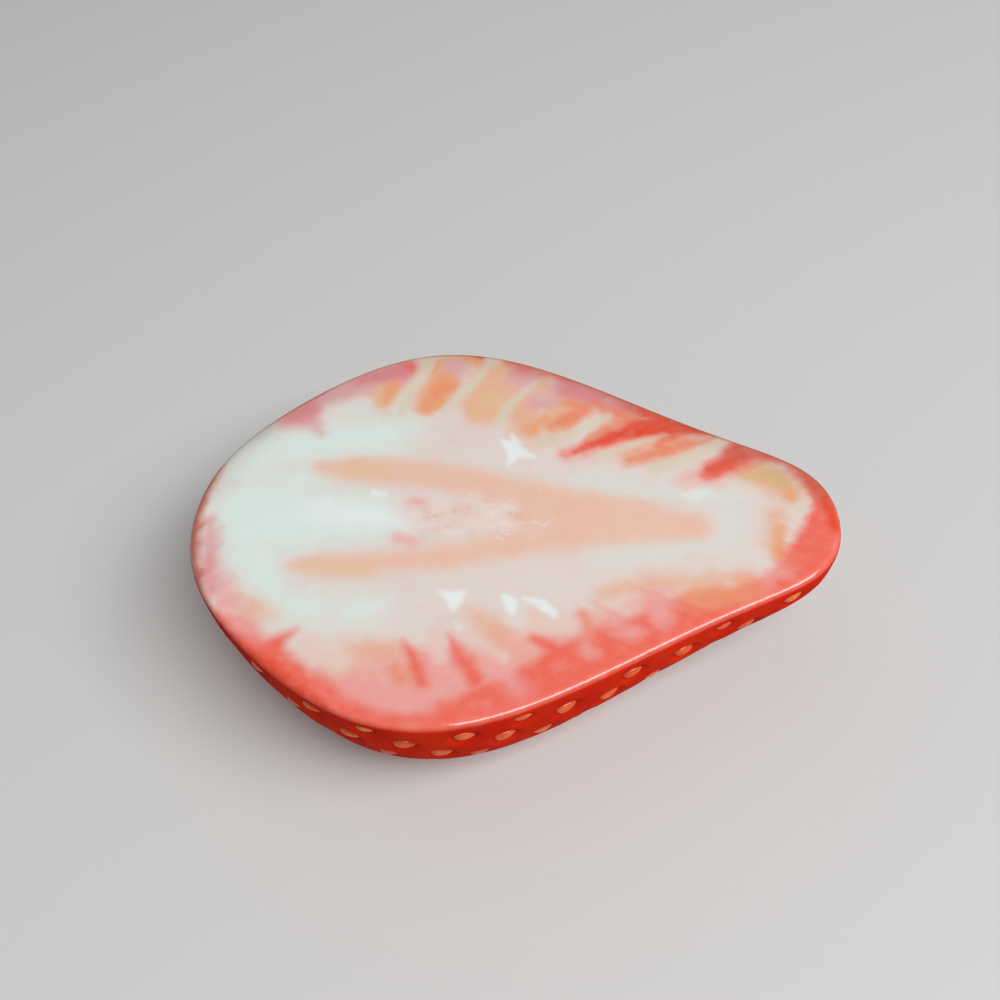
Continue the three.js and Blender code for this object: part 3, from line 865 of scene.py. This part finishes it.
egg = bmesh.new()
bmesh.ops.create_uvsphere(egg, u_segments=12, v_segments=8, radius=1)
for vertex in egg.verts:
    vertex.co.x *= 1 - SEED_POINT * vertex.co.z
    vertex.co.y *= 1 - SEED_POINT * vertex.co.z
egg_mesh = bpy.data.meshes.new("egg")
egg.to_mesh(egg_mesh)
egg.free()

seeds = bmesh.new()
for middle_point, long, wide, out in zip(seed_middle, seed_long, seed_wide, seed_out):
    axes = [wide * SEED_HALF_WIDTH * SLIM, out * SEED_HEIGHT, long * SEED_HALF_LENGTH]
    columns = np.array([*axes, middle_point + out * SEED_FLOOR]).T
    placed = Matrix([[*row] for row in columns] + [[0, 0, 0, 1]])
    seeds.from_mesh(egg_mesh)
    bmesh.ops.transform(seeds, matrix=placed, verts=seeds.verts[-len(egg_mesh.vertices):])
bmesh.ops.recalc_face_normals(seeds, faces=seeds.faces[:])
seeds_piece = finish_piece(seeds, "seeds")

seed_material, sockets, shader = new_material(
    "strawberry_seed", Roughness=0.35, Specular_IOR_Level=0.15,
    Coat_Weight=0.5, Coat_Roughness=0.08, IOR=1.45,
)
place = millimetres(sockets)
seed_tint = sockets.add("ShaderNodeRGB")
seed_tint.output.default_value = SEED_COLOUR
seed_tint = seed_tint.over(SEED_PALE, noise_at(place, SEED_PATCHES).blend(0.4, 0.7))
seed_tint = seed_tint.over(SEED_DARK, noise_at(place, SEED_SPECKS, 3).blend(0.5, 0.75, 0, 0.5))
link(seed_tint, shader, "Base Color")
seeds_piece.data.materials.append(seed_material)
print(len(seeds_piece.data.polygons), "faces on the seeds")

# %% [markdown]
# ## Floor and light
# A studio table and soft lamps. A sky picture would put a horizon in the gloss, so the light is a
# plain world, a lamp overhead, and a long one on the right that draws the line along the edge.

# %% Floor and light
FLOOR_SIZE = 1.5  # metres, as the lamps' sizes are
LAMP_DISTANCE = 0.5
KEY_TURN = math.radians(-27)
WORLD_STRENGTH = 0.12

floor_mesh = bmesh.new()
bmesh.ops.create_grid(floor_mesh, x_segments=1, y_segments=1, size=FLOOR_SIZE / MM / 2)
floor = finish_piece(floor_mesh, "floor")
floor_material, sockets, shader = new_material("floor", Roughness=0.6, Base_Color=(0.6, 0.6, 0.59, 1))
floor.data.materials.append(floor_material)

world = bpy.data.worlds.new("studio")
world.use_nodes = True
world.node_tree.nodes["Background"].inputs["Color"].default_value = (1, 1, 1, 1)
world.node_tree.nodes["Background"].inputs["Strength"].default_value = WORLD_STRENGTH
bpy.context.scene.world = world
bpy.context.scene.view_settings.view_transform = "Standard"


def add_lamp(name, direction, size, power, turn=0):
    """A rectangular lamp in that direction from the middle of the cut face, facing it."""
    lamp = bpy.data.objects.new(name, bpy.data.lights.new(name, "AREA"))
    lamp.data.shape = "RECTANGLE"
    lamp.data.size, lamp.data.size_y = size
    lamp.data.energy = power
    lamp.location = Vector(direction).normalized() * LAMP_DISTANCE
    facing = Vector(direction).to_track_quat("Z", "Y").to_matrix()
    lamp.rotation_euler = (facing @ Matrix.Rotation(turn, 3, "Z")).to_euler()
    bpy.context.scene.collection.objects.link(lamp)
    return lamp


key = add_lamp("key", (0.45, -0.33, 0.8), (0.5, 0.24), 3.0, KEY_TURN)
add_lamp("overhead", (-0.3, 0.5, 1.0), (0.5, 0.5), 0.2)
print("the key lamp's long side runs along", [round(x, 2) for x in key.rotation_euler.to_matrix().col[0]])

# %% [markdown]
# ## Hand over
# The two pieces ride on the solid's body and stand for its one node.

# %% Ride and replace
for piece in (flesh_piece, seeds_piece):
    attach(piece, "root")
    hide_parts("strawberry_half")
